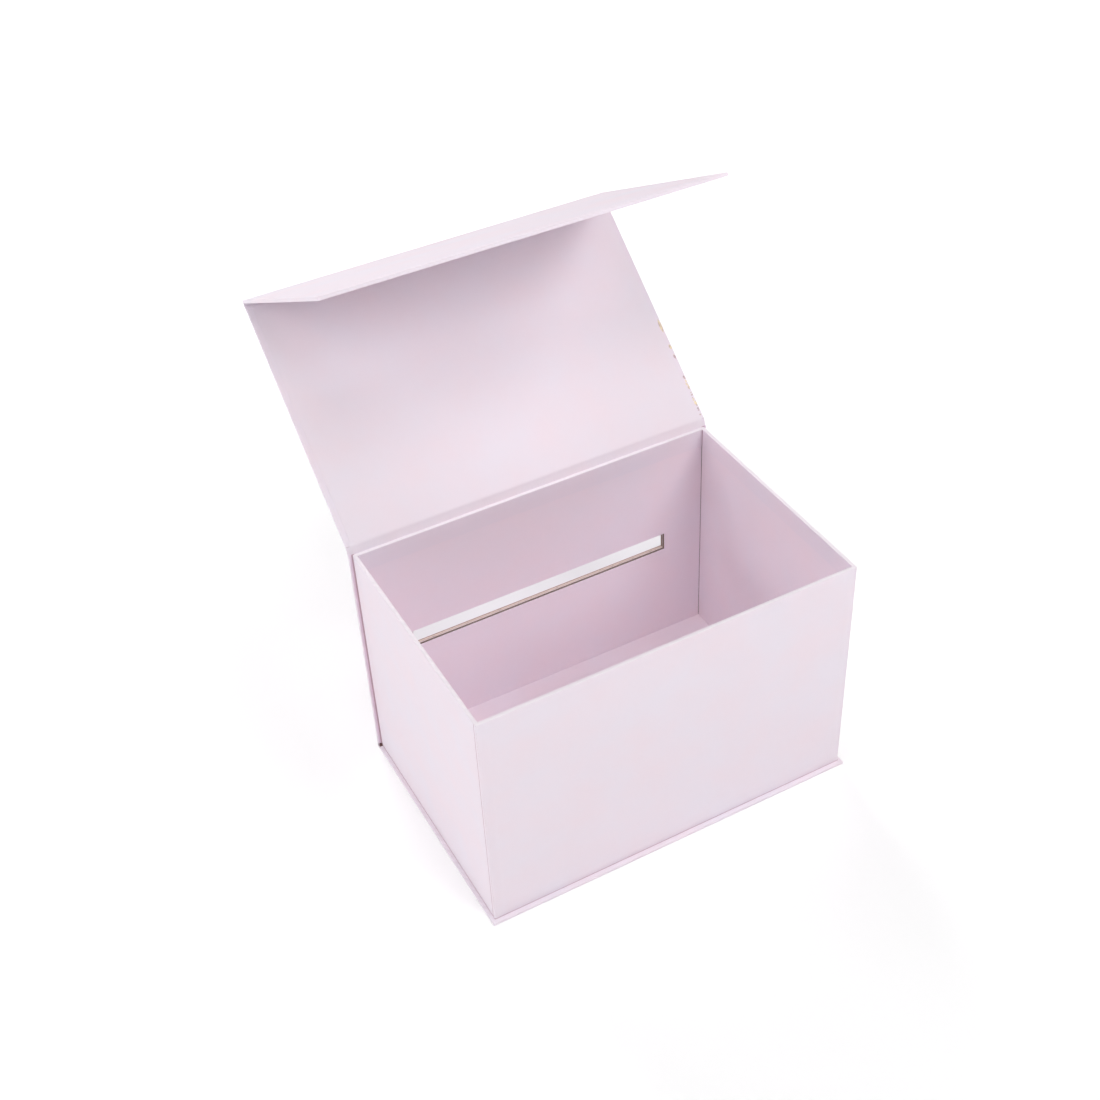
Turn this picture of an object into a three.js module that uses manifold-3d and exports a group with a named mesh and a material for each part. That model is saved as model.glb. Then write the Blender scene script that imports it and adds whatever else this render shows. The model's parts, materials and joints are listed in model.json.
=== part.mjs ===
// A flower box: a deep greyboard tray, wrapped and lined in paper, glued inside a book-style cover.
// The cover is a base, a spine, a lid and a front flap, joined by paper hinges, and two pairs of
// magnets hold the flap shut. A letter slot goes through the back of the tray and the spine.
// It is drawn standing open. Millimetres and degrees. +X is the box's right, +Y its back, +Z up,
// and the origin is on the underside, at the middle of the tray.
import * as THREE from 'three';
import { mergeVertices } from 'three/addons/utils/BufferGeometryUtils.js';
import Module from 'manifold-3d';

const wasm = await Module();
wasm.setup();

// ---- Driving dimensions ----
const TRAY_WIDTH = 300;
const TRAY_DEPTH = 199;
const TRAY_HEIGHT = 198;
const BOARD = 2; // greyboard
const PAPER = 0.2; // wrapping and lining paper
const GLUE = 0.1; // the glue line between two layers
const RIM_TURN_IN = 16; // how far the wrap goes down inside the walls
const EDGE_TURN_IN = 15; // how far paper turns over a board's edge elsewhere
const COVER_SIDE_OVERHANG = 2.8; // how far the cover stands out past the tray at each side
const COVER_FRONT_OVERHANG = 3.5;
const CLEARANCE = 0.3; // between parts that move past each other
const SLOT_WIDTH = 225;
const SLOT_HEIGHT = 16;
const LID_ELEVATION = 39.5; // the open lid above the horizontal, leaning back
const FLAP_BEND = 112.85; // the flap's bend from the lid's plane while the box is open
const SPINE_ELEVATION = 90;
const SQUARE = 90; // the flap's bend while the box is shut
const HINGE_SETBACK = 3.4; // from the lid's pivot to the board on either side of it
const CREASE_SPACING = 4; // between the two creases of the flap's hinge
const CREASE_SETBACK = 2; // from each of them to the board beside it
const LINING_INSET = 4.5; // from a cover panel's edges to its lining
const MAGNET_RADIUS = 6;
const MAGNET_THICKNESS = 1.2;
const MAGNET_SPACING = 150;
const MAGNET_FROM_FLAP_EDGE = 22;
const STAY_LEG = 20; // one leg of the tape round a corner of the tray
const STAY_TAPE = 0.06;
const FACET_ANGLE = 9; // the largest turn from one facet of a round surface to the next

// ---- Layers, from the outside in ----
const SKIN = PAPER + GLUE;
const WRAPPED_PANEL = BOARD + 2 * SKIN; // board with paper on both faces
const LINED_PANEL = WRAPPED_PANEL + SKIN; // and a lining over that

// ---- Places worked out from them ----
const COVER_WIDTH = TRAY_WIDTH + 2 * COVER_SIDE_OVERHANG;
const TRAY_BOTTOM = WRAPPED_PANEL + GLUE;
const RIM = TRAY_BOTTOM + TRAY_HEIGHT;
const TRAY_BACK = TRAY_DEPTH / 2;
const SPINE_INNER_FACE = TRAY_BACK + 2 * GLUE + PAPER;
const SPINE_OUTER_FACE = SPINE_INNER_FACE + WRAPPED_PANEL;
const SLOT_MIDDLE = TRAY_BOTTOM + TRAY_HEIGHT / 2;
const CLOSED_LID_TOP = RIM + CLEARANCE + LINED_PANEL;
const CLOSED_FLAP_FRONT = -(TRAY_DEPTH / 2 + CLEARANCE + LINED_PANEL);

// A paper hinge bends about a line half a panel below the cover's outer face.
const PIVOT_DEPTH = WRAPPED_PANEL / 2;
const LID_PIVOT_Y = SPINE_OUTER_FACE - PIVOT_DEPTH;
const LID_PIVOT_Z = CLOSED_LID_TOP - PIVOT_DEPTH;
const SPINE_TOP = LID_PIVOT_Z - HINGE_SETBACK;
const SPINE_BOTTOM = PIVOT_DEPTH + HINGE_SETBACK;
const PIVOT_SPAN = LID_PIVOT_Y - CLOSED_FLAP_FRONT - PIVOT_DEPTH; // from the lid's pivot to the flap's
const FIRST_CREASE = PIVOT_SPAN - CREASE_SPACING; // from the lid's pivot
const LID_LENGTH = FIRST_CREASE - HINGE_SETBACK - CREASE_SETBACK;
const FLAP_REACH = LID_PIVOT_Z - WRAPPED_PANEL - 2 * CLEARANCE; // from its pivot to its free edge
const FLAP_LENGTH = FLAP_REACH - CREASE_SETBACK;

// ---- Materials ----
const paint = (name, colour, roughness, metalness = 0) => {
  const material = new THREE.MeshStandardMaterial({ color: colour, roughness, metalness });
  material.name = name;
  return material;
};
const wrapPaper = paint('wrap_paper', 0xe6d9e4, 0.75);
const liningPaper = paint('lining_paper', 0xe4d5e1, 0.8);
const greyboard = paint('greyboard', 0x9c8878, 0.95);
const stayTape = paint('stay_tape', 0xb79a72, 0.85);
const magnetSteel = paint('magnet', 0xb4b6b8, 0.35, 1);

// ---- Shapes ----
// A block between two corners.
function block(low, high) {
  const size = high.map((value, axis) => value - low[axis]);
  const middle = high.map((value, axis) => (value + low[axis]) / 2);
  return new THREE.BoxGeometry(...size).translate(...middle);
}

// A block as wide as `width`, centred on x = 0, from one (y, z) corner to the other.
function slab(width, [y0, z0], [y1, z1]) {
  return block([-width / 2, y0, z0], [width / 2, y1, z1]);
}

function toSolid(geometry) {
  const bare = geometry.clone();
  bare.deleteAttribute('normal');
  bare.deleteAttribute('uv');
  const merged = mergeVertices(bare, 1e-4);
  const vertProperties = new Float32Array(merged.attributes.position.array);
  const triVerts = new Uint32Array(merged.index.array);
  return new wasm.Manifold(new wasm.Mesh({ numProp: 3, vertProperties, triVerts }));
}

function toGeometry(solid) {
  const mesh = solid.getMesh();
  const geometry = new THREE.BufferGeometry();
  geometry.setAttribute('position', new THREE.BufferAttribute(mesh.vertProperties, 3));
  geometry.setIndex(new THREE.BufferAttribute(mesh.triVerts, 1));
  return geometry;
}

// One geometry with others cut away from it, and more joined on first.
function carve(geometry, { joined = [], cut = [] }) {
  let solid = toSolid(geometry);
  for (const extra of joined) {
    solid = solid.add(toSolid(extra));
  }
  for (const tool of cut) {
    solid = solid.subtract(toSolid(tool));
  }
  return toGeometry(solid);
}

// A closed outline in (y, z), drawn out along X about x = 0.
function prism(outline, width) {
  const shape = new THREE.Shape(outline);
  const geometry = new THREE.ExtrudeGeometry(shape, { depth: width, bevelEnabled: false });
  const axes = new THREE.Matrix4().makeBasis(
    new THREE.Vector3(0, 1, 0),
    new THREE.Vector3(0, 0, 1),
    new THREE.Vector3(1, 0, 0),
  );
  return geometry.applyMatrix4(axes).translate(-width / 2, 0, 0);
}

// Paper of one thickness laid on the left of a path of (y, z) points, as wide as `width`.
function foldedStrip(path, width) {
  const normals = [];
  for (let i = 0; i + 1 < path.length; i += 1) {
    const along = path[i + 1].clone().sub(path[i]).normalize();
    normals.push(new THREE.Vector2(-along.y, along.x));
  }
  const inner = path.map((point, i) => {
    const before = normals[Math.max(i - 1, 0)];
    const after = normals[Math.min(i, normals.length - 1)];
    const mitre = before.clone().add(after).divideScalar(1 + before.dot(after));
    return point.clone().addScaledVector(mitre, PAPER);
  });
  return prism([...path, ...inner.reverse()], width);
}

// A disc whose axis is Y or Z.
function disc(radius, thickness, [x, y, z], axis) {
  const geometry = new THREE.CylinderGeometry(radius, radius, thickness, 360 / FACET_ANGLE);
  if (axis === 'z') {
    geometry.rotateX(Math.PI / 2);
  }
  return geometry.translate(x, y, z);
}

// Wrapping paper folded round a flat board that lies along +Y with its outer face down, at z = 0.
// The long edges always turn in; `nearEdge` and `farEdge` say whether the short ones do.
function foldedWrap(width, length, { nearEdge, farEdge }) {
  const openEnd = 1; // a cut that runs past an edge that isn't turned
  const near = nearEdge ? PAPER : -openEnd;
  const far = farEdge ? length - PAPER : length + openEnd;
  const nearWindow = nearEdge ? EDGE_TURN_IN : -openEnd;
  const farWindow = farEdge ? length - EDGE_TURN_IN : length + openEnd;
  const room = slab(width - 2 * PAPER, [near, PAPER], [far, WRAPPED_PANEL - PAPER]);
  const window = slab(
    width - 2 * EDGE_TURN_IN,
    [nearWindow, WRAPPED_PANEL / 2],
    [farWindow, WRAPPED_PANEL + openEnd],
  );
  return carve(slab(width, [0, 0], [length, WRAPPED_PANEL]), { cut: [room, window] });
}

// The board inside such a wrap.
function boardIn(width, length, { nearEdge, farEdge }) {
  const near = nearEdge ? SKIN : 0;
  const far = farEdge ? length - SKIN : length;
  return slab(width - 2 * SKIN, [near, SKIN], [far, SKIN + BOARD]);
}

// ---- The scene graph ----
const flowerBox = new THREE.Group();

function node(name, geometry, material, parent = flowerBox) {
  const mesh = new THREE.Mesh(geometry, material);
  mesh.name = name;
  parent.add(mesh);
  return mesh;
}

function slotCut() {
  const reach = 20; // well past the wall and the spine
  return slab(
    SLOT_WIDTH,
    [TRAY_BACK - reach, SLOT_MIDDLE - SLOT_HEIGHT / 2],
    [TRAY_BACK + reach, SLOT_MIDDLE + SLOT_HEIGHT / 2],
  );
}

const magnetPlaces = { left: -MAGNET_SPACING / 2, right: MAGNET_SPACING / 2 };
const closedMagnetHeight = WRAPPED_PANEL + 2 * CLEARANCE + MAGNET_FROM_FLAP_EDGE;
const pocketRadius = MAGNET_RADIUS + CLEARANCE;
const pocketDepth = MAGNET_THICKNESS + 2 * GLUE;

// The tray's five boards. Front and back are full width, and the sides fit between them.
function addTrayBoards() {
  const halfWidth = TRAY_WIDTH / 2 - SKIN;
  const halfDepth = TRAY_DEPTH / 2 - SKIN;
  const bottom = TRAY_BOTTOM + SKIN;
  const top = RIM - SKIN;
  const sideReach = halfDepth - BOARD - GLUE;
  const front = slab(2 * halfWidth, [-halfDepth, bottom], [-halfDepth + BOARD, top]);
  const back = slab(2 * halfWidth, [halfDepth - BOARD, bottom], [halfDepth, top]);
  const pockets = Object.values(magnetPlaces).map((x) => {
    const middle = -halfDepth + pocketDepth / 2 - GLUE / 2;
    return disc(pocketRadius, pocketDepth + GLUE, [x, middle, closedMagnetHeight], 'y');
  });
  node('tray_front_board', carve(front, { cut: pockets }), greyboard);
  node('tray_back_board', carve(back, { cut: [slotCut()] }), greyboard);
  for (const [side, sign] of [['left', -1], ['right', 1]]) {
    const faces = [sign * (halfWidth - BOARD), sign * halfWidth].sort((a, b) => a - b);
    const panel = block([faces[0], -sideReach, bottom], [faces[1], sideReach, top]);
    node(`tray_${side}_board`, panel, greyboard);
  }
  const floorHalfWidth = halfWidth - BOARD - GLUE;
  const floor = slab(2 * floorHalfWidth, [-sideReach, bottom], [sideReach, bottom + BOARD]);
  node('tray_floor_board', floor, greyboard);
}

function addTrayMagnets() {
  const boardFace = -TRAY_DEPTH / 2 + SKIN;
  for (const [side, x] of Object.entries(magnetPlaces)) {
    const middle = boardFace + GLUE + MAGNET_THICKNESS / 2 - GLUE / 2;
    const magnet = disc(MAGNET_RADIUS, MAGNET_THICKNESS, [x, middle, closedMagnetHeight], 'y');
    node(`tray_magnet_${side}`, magnet, magnetSteel);
  }
}

// Gummed tape round each upright corner of the boards, under the wrap.
function addCornerStays() {
  const outside = PAPER + (GLUE - STAY_TAPE) / 2; // the middle of the glue line
  const x = TRAY_WIDTH / 2 - outside;
  const y = TRAY_DEPTH / 2 - outside;
  const margin = 4;
  const height = TRAY_HEIGHT - 2 * margin;
  const legs = [
    [0, 0], [-STAY_LEG, 0], [-STAY_LEG, -STAY_TAPE], [-STAY_TAPE, -STAY_TAPE],
    [-STAY_TAPE, -STAY_LEG], [0, -STAY_LEG],
  ];
  const turns = { back_right: 0, back_left: 90, front_left: 180, front_right: 270 };
  for (const [corner, degrees] of Object.entries(turns)) {
    const turned = THREE.MathUtils.degToRad(degrees);
    const cornerX = degrees === 0 || degrees === 270 ? x : -x;
    const cornerY = degrees < 180 ? y : -y;
    const outline = legs.map(([u, v]) => new THREE.Vector2(u, v).rotateAround(new THREE.Vector2(), turned));
    const tape = new THREE.ExtrudeGeometry(new THREE.Shape(outline), { depth: height, bevelEnabled: false });
    const stay = node(`corner_stay_${corner}`, tape, stayTape);
    stay.position.set(cornerX, cornerY, TRAY_BOTTOM + margin);
  }
}

// The tray's wrap: four walls, over the rim and down inside, and a margin turned under the bottom.
function addTrayWrap() {
  const past = 1;
  const shell = slab(TRAY_WIDTH, [-TRAY_DEPTH / 2, TRAY_BOTTOM], [TRAY_DEPTH / 2, RIM]);
  const inside = (depth, bottom, top) => slab(
    TRAY_WIDTH - 2 * depth,
    [-TRAY_DEPTH / 2 + depth, bottom],
    [TRAY_DEPTH / 2 - depth, top],
  );
  const hollow = inside(PAPER, TRAY_BOTTOM + PAPER, RIM - PAPER);
  const mouth = inside(LINED_PANEL, RIM - past, RIM + past);
  const underside = inside(EDGE_TURN_IN, TRAY_BOTTOM - past, TRAY_BOTTOM + past);
  const turnInBottom = RIM - RIM_TURN_IN;
  const turnIn = carve(inside(LINED_PANEL - PAPER, turnInBottom, RIM - PAPER / 2), {
    cut: [inside(LINED_PANEL, turnInBottom - past, RIM + past)],
  });
  const sheet = carve(shell, { cut: [hollow, mouth, underside, slotCut()] });
  node('tray_wrap', carve(sheet, { joined: [turnIn] }), wrapPaper);
}

// Lining sheets on the inside of each wall and on the floor. The wall sheets' top edges are under
// the wrap that comes down from the rim, and a narrow gap is left where two of them meet.
function addTrayLinings() {
  const outer = LINED_PANEL - SKIN - PAPER; // a lining's hidden face, from the outside of the wall
  const inner = outer + PAPER;
  const cornerGap = 0.5;
  const floorTop = TRAY_BOTTOM + SKIN + BOARD;
  const bottom = floorTop + GLUE;
  const top = RIM - 2 * SKIN;
  const frontBackHalf = TRAY_WIDTH / 2 - inner - cornerGap;
  const sideHalf = TRAY_DEPTH / 2 - outer;
  const front = slab(2 * frontBackHalf, [-TRAY_DEPTH / 2 + outer, bottom], [-TRAY_DEPTH / 2 + inner, top]);
  const back = slab(2 * frontBackHalf, [TRAY_DEPTH / 2 - inner, bottom], [TRAY_DEPTH / 2 - outer, top]);
  node('tray_lining_front', front, liningPaper);
  node('tray_lining_back', carve(back, { cut: [slotCut()] }), liningPaper);
  for (const [side, sign] of [['left', -1], ['right', 1]]) {
    const faces = [sign * (TRAY_WIDTH / 2 - inner), sign * (TRAY_WIDTH / 2 - outer)].sort((a, b) => a - b);
    const sheet = block([faces[0], -sideHalf, bottom], [faces[1], sideHalf, top]);
    node(`tray_lining_${side}`, sheet, liningPaper);
  }
  const floorHalfWidth = TRAY_WIDTH / 2 - inner - GLUE;
  const floorHalfDepth = TRAY_DEPTH / 2 - inner - GLUE;
  const floor = slab(
    2 * floorHalfWidth,
    [-floorHalfDepth, floorTop + GLUE],
    [floorHalfDepth, floorTop + SKIN],
  );
  node('tray_lining_floor', floor, liningPaper);
}

// The cover's base lies under the tray, and its wrap turns in at the front and both sides.
function addBase() {
  const edges = { nearEdge: true, farEdge: false };
  const front = -(TRAY_DEPTH / 2 + COVER_FRONT_OVERHANG);
  const length = LID_PIVOT_Y - HINGE_SETBACK - front;
  node('base_board', boardIn(COVER_WIDTH, length, edges), greyboard).position.y = front;
  node('base_wrap', foldedWrap(COVER_WIDTH, length, edges), wrapPaper).position.y = front;
}

// The spine stands behind the tray. It is a cover panel turned upright, its outer face to the back.
function addSpine() {
  const edges = { nearEdge: false, farEdge: false };
  const length = SPINE_TOP - SPINE_BOTTOM;
  const stood = (geometry) => geometry.rotateX(Math.PI / 2).translate(0, SPINE_OUTER_FACE, SPINE_BOTTOM);
  const board = stood(boardIn(COVER_WIDTH, length, edges));
  const wrap = stood(foldedWrap(COVER_WIDTH, length, edges));
  node('spine_board', carve(board, { cut: [slotCut()] }), greyboard);
  node('spine_wrap', carve(wrap, { cut: [slotCut()] }), wrapPaper);
}

// Paper across the gap between the base and the spine, round the bottom back edge.
function addBaseHinge() {
  const path = [
    new THREE.Vector2(LID_PIVOT_Y - HINGE_SETBACK + GLUE, 0),
    new THREE.Vector2(SPINE_OUTER_FACE, 0),
    new THREE.Vector2(SPINE_OUTER_FACE, SPINE_BOTTOM - GLUE),
  ];
  node('base_hinge_strip', foldedStrip(path, COVER_WIDTH), wrapPaper);
}

// The path of paper round a hinge, about its first pivot. It comes along +Y on the side of the outer
// face, `depth` below the pivot, and bends by each crease's degrees in turn: up, round the pivot, or
// down, into a sharp crease. Each end stays inside the circle that the board beside it turns outside.
function hingePath(bends, setback, depth) {
  const reach = setback - 2 * GLUE;
  const leg = Math.sqrt(reach * reach - depth * depth);
  const pivot = new THREE.Vector2();
  let heading = 0;
  const place = (along, turned) => {
    const point = new THREE.Vector2(along, -depth).rotateAround(new THREE.Vector2(), turned);
    return point.add(pivot);
  };
  const path = [place(-leg, heading)];
  for (const [i, bend] of bends.entries()) {
    if (i > 0) {
      pivot.add(new THREE.Vector2(CREASE_SPACING, 0).rotateAround(new THREE.Vector2(), heading));
    }
    const turn = THREE.MathUtils.degToRad(bend);
    if (bend < 0) {
      path.push(place(depth * Math.tan(turn / 2), heading));
    } else {
      const steps = Math.ceil(bend / FACET_ANGLE);
      for (let step = 0; step <= steps; step += 1) {
        path.push(place(0, heading + (turn * step) / steps));
      }
    }
    heading += turn;
  }
  path.push(place(leg, heading));
  return path;
}

// The lining that comes up between the tray and the spine, to the lid.
function addLidHingeLining() {
  const tail = 25; // glued between the tray's back and the spine
  const face = TRAY_BACK + GLUE + PAPER;
  const path = [new THREE.Vector2(face, RIM - tail), new THREE.Vector2(face, CLOSED_LID_TOP)];
  node('lid_hinge_lining', foldedStrip(path, TRAY_WIDTH), liningPaper);
}

// A flat sheet of lining on a cover panel's inner face, which is `base` above z = 0.
function liningSheet(length, base, { nearInset, farInset }) {
  const width = COVER_WIDTH - 2 * LINING_INSET;
  return slab(width, [nearInset, base + GLUE], [length - farInset, base + SKIN]);
}

// The lid in its own frame: its pivot is the X axis, the lid lies along +Y, inner face up.
function addLid(lid) {
  const edges = { nearEdge: false, farEdge: false };
  const parts = {
    lid_board: [boardIn(COVER_WIDTH, LID_LENGTH, edges), greyboard],
    lid_wrap: [foldedWrap(COVER_WIDTH, LID_LENGTH, edges), wrapPaper],
    lid_lining: [liningSheet(LID_LENGTH, WRAPPED_PANEL, { nearInset: 0, farInset: 0 }), liningPaper],
  };
  for (const [name, [geometry, material]] of Object.entries(parts)) {
    node(name, geometry, material, lid).position.set(0, HINGE_SETBACK, -PIVOT_DEPTH);
  }
}

// The flap in its own frame: its pivot is the X axis, the flap lies along +Y, inner face up.
function addFlap(flap) {
  const edges = { nearEdge: false, farEdge: true };
  const magnetAlong = FLAP_LENGTH - MAGNET_FROM_FLAP_EDGE;
  const boardTop = SKIN + BOARD;
  const pockets = Object.values(magnetPlaces).map((x) => {
    const middle = boardTop - pocketDepth / 2 + GLUE / 2;
    return disc(pocketRadius, pocketDepth + GLUE, [x, magnetAlong, middle], 'z');
  });
  const board = carve(boardIn(COVER_WIDTH, FLAP_LENGTH, edges), { cut: pockets });
  const insets = { nearInset: 0, farInset: LINING_INSET };
  const parts = {
    flap_board: [board, greyboard],
    flap_wrap: [foldedWrap(COVER_WIDTH, FLAP_LENGTH, edges), wrapPaper],
    flap_lining: [liningSheet(FLAP_LENGTH, WRAPPED_PANEL, insets), liningPaper],
  };
  for (const [side, x] of Object.entries(magnetPlaces)) {
    const middle = boardTop - GLUE / 2 - MAGNET_THICKNESS / 2;
    parts[`flap_magnet_${side}`] = [
      disc(MAGNET_RADIUS, MAGNET_THICKNESS, [x, magnetAlong, middle], 'z'),
      magnetSteel,
    ];
  }
  for (const [name, [geometry, material]] of Object.entries(parts)) {
    node(name, geometry, material, flap).position.set(0, CREASE_SETBACK, -PIVOT_DEPTH);
  }
}

// ---- Put together ----
addTrayBoards();
addTrayMagnets();
addCornerStays();
addTrayWrap();
addTrayLinings();
addBase();
addSpine();
addBaseHinge();
addLidHingeLining();

// In each hinge's group the panel before it lies along +Y, with its inner face up.
const lidHinge = new THREE.Group();
lidHinge.position.set(0, LID_PIVOT_Y, LID_PIVOT_Z);
lidHinge.rotation.x = THREE.MathUtils.degToRad(SPINE_ELEVATION);
flowerBox.add(lidHinge);
const lidBend = LID_ELEVATION - SPINE_ELEVATION;
const lidStrip = hingePath([lidBend], HINGE_SETBACK, PIVOT_DEPTH);
node('lid_hinge_strip', foldedStrip(lidStrip, COVER_WIDTH), wrapPaper, lidHinge);

const lid = new THREE.Group();
lid.rotation.x = THREE.MathUtils.degToRad(lidBend);
lidHinge.add(lid);
addLid(lid);

// The flap's hinge has two creases. With the box shut the first is flat and the second is square;
// drawn open, the first takes up the rest of the bend.
const flapHinge = new THREE.Group();
flapHinge.position.set(0, FIRST_CREASE, 0);
lid.add(flapHinge);
const flapBends = [FLAP_BEND - SQUARE, SQUARE];
const flapStrip = hingePath(flapBends, CREASE_SETBACK, PIVOT_DEPTH);
node('flap_hinge_strip', foldedStrip(flapStrip, COVER_WIDTH), wrapPaper, flapHinge);
const flapStripLining = hingePath(flapBends, CREASE_SETBACK, PIVOT_DEPTH - SKIN - GLUE);
const flapLiningWidth = COVER_WIDTH - 2 * LINING_INSET;
node('flap_hinge_lining', foldedStrip(flapStripLining, flapLiningWidth), liningPaper, flapHinge);

const creaseStrip = new THREE.Group();
creaseStrip.rotation.x = THREE.MathUtils.degToRad(flapBends[0]);
flapHinge.add(creaseStrip);

const flap = new THREE.Group();
flap.position.set(0, CREASE_SPACING, 0);
flap.rotation.x = THREE.MathUtils.degToRad(flapBends[1]);
creaseStrip.add(flap);
addFlap(flap);

export default flowerBox;
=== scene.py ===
"""Looks for the flower box: a paper-wrapped greyboard box with a hinged lid, a front flap and a slot.

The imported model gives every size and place. Each sheet of paper is built again here as a thin folded
sheet with eased edges, and the boards, tapes and magnets keep their CAD shape under new materials.
"""

import json
import math
import random

import bmesh
import bpy
from mathutils import Matrix, Vector, noise


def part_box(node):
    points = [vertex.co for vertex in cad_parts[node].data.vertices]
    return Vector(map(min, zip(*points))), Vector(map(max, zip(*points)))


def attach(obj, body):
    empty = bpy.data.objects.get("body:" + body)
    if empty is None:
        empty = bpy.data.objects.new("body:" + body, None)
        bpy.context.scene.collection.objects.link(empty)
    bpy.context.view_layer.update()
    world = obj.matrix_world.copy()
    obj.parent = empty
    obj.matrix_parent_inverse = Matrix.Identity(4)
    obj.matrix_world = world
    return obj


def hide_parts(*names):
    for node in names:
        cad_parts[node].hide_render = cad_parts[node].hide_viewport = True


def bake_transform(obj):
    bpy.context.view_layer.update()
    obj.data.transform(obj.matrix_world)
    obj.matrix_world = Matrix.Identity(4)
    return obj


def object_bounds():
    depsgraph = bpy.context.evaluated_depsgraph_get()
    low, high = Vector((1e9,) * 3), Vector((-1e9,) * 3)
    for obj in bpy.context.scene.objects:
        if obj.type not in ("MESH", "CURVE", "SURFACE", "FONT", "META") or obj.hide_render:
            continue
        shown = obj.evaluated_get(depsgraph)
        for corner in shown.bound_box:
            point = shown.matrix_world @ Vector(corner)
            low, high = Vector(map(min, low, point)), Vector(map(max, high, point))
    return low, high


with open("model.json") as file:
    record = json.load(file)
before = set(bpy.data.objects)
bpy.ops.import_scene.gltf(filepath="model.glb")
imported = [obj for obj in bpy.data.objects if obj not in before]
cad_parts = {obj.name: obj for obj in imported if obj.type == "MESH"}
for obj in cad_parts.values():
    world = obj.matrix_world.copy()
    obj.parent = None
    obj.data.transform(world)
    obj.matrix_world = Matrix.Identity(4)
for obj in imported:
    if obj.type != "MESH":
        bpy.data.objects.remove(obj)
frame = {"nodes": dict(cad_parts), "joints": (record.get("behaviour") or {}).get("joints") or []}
cad_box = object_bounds()

MM = 0.001
X_AXIS = Vector((1, 0, 0))

# ---- Paper and foil, and how they are worked ----
PAPER = 0.2 * MM
EDGE_RADIUS = 0.55 * MM  # of paper folded round a board's edge
CORNER_RADIUS = 1.1 * MM  # of the tray's upright corners
EDGE_TURN_IN = 15 * MM
RIM_TURN_IN = 16 * MM
RIM_HIGHLIGHT_DEPTH = 0.35 * MM  # how far down from its top the rim's paper is painted paler: a painted highlight
LAP = 2.2 * MM  # how far the front paper comes round the tray's corners
VALLEY_WIDTH = 1.0 * MM  # the fold in the lining behind the tray's back rim
VALLEY_DEPTH = 1.2 * MM
WAVE = 0.05 * MM  # how far a glued sheet strays from flat
WAVE_LENGTH = 70 * MM
FOIL_LIFT = 0.01 * MM  # between the foil and the paper's face
FOIL_DEPTH = 0.03 * MM
SIDES = (("left", -1), ("right", 1))
SEED = 7  # of the ripple in the paper and of the foil's scatter

# ---- How finely the meshes are cut ----
GRID = 12 * MM  # about the length of a cell in a long sheet
BEND_STEPS = 4  # facets in a quarter turn of paper round an edge
FOLD_STEPS = 5  # facets in a rounded fold of a hinge
SHARPEST_SMOOTH = math.radians(35)  # between facets that are shaded as one surface

# ---- Light: each lamp's place in metres, size across and power ----
LAMPS = {
    "lamp_left": ((-2.6, -0.2, 0.9), 1.6, 7.4),
    "lamp_left_high": ((-1.9, -0.3, 1.9), 1.2, 8.8),
    "lamp_left_back": ((-2.2, 1.1, 1.2), 1.2, 12),
    "lamp_back": ((0, 2.4, 1.6), 1.6, 37),
    "lamp_right_high": ((1.9, -0.3, 1.9), 1.2, 15),
    "lamp_front_high": ((-0.3, -0.9, 2.6), 1.0, 11),
    "lamp_front_left": ((-0.6, -1.6, 1.9), 1.0, 3.6),
    "lamp_front_right": ((0.7, -1.6, 1.7), 1.0, 18),
}
SKY_STRENGTH = 0.03

# ---- Camera: where the box is seen from ----
SENSOR_WIDTH = 36  # in mm, like the lens
LENS = 53.13
CAMERA_PLACE = Vector((-424.9, -771.7, 948.3)) * MM
CAMERA_YAW = math.radians(-26.5)
CAMERA_PITCH = math.radians(39.86)
CAMERA_ROLL = math.radians(-3.21)


# ---------------------------------------------------------------- measures from the frame
def joint_place(name):
    return Vector(next(j for j in frame["joints"] if j["name"] == name)["pos_m"])


def points(node):
    return [v.co.copy() for v in frame["nodes"][node].data.vertices]


def span(places):
    """The lowest and highest corners of the box round some points."""
    low = Vector([min(p[axis] for p in places) for axis in range(3)])
    high = Vector([max(p[axis] for p in places) for axis in range(3)])
    return low, high


class Panel:
    """A flat cover panel: +Y along it from its near edge, +Z towards its inner face, X across."""

    def __init__(self, board, pivot):
        mesh = frame["nodes"][board].data
        face = max(mesh.polygons, key=lambda p: p.area)
        self.along = face.normal.cross(X_AXIS).normalized()
        centre = sum(points(board), Vector()) / len(mesh.vertices)
        if self.along.dot(centre - pivot) < 0:
            self.along.negate()
        inward = X_AXIS.cross(self.along).normalized()
        self.matrix = Matrix.Identity(4)
        for column, axis in enumerate((X_AXIS, self.along, inward)):
            self.matrix.col[column] = (*axis, 0)
        self.matrix.translation = pivot

    def box(self, node):
        """A node's lowest and highest corners in the panel's own frame."""
        inverse = self.matrix.inverted()
        return span([inverse @ p for p in points(node)])

    def place(self, along, height):
        """A point of the panel's section, as (y, z) in the row frame."""
        p = self.matrix @ Vector((0, along, height))
        return Vector((p.y, p.z))


def hole_in(node):
    """The box of a rectangular hole through an upright board: its vertices that aren't at an end."""
    low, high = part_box(node)
    margin = 1 * MM
    return span([p for p in points(node) if low.x + margin < p.x < high.x - margin])


LID_PIVOT = joint_place("lid_hinge")
FIRST_CREASE = joint_place("flap_fold")
SECOND_CREASE = joint_place("flap_hinge")
BASE_FRONT = Vector((0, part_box("base_wrap")[0].y, 0))
SPINE_FOOT = Vector((0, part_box("spine_wrap")[1].y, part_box("spine_wrap")[0].z))

base = Panel("base_board", BASE_FRONT)
spine = Panel("spine_board", SPINE_FOOT)
lid = Panel("lid_board", LID_PIVOT)
flap = Panel("flap_board", SECOND_CREASE)

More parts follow.
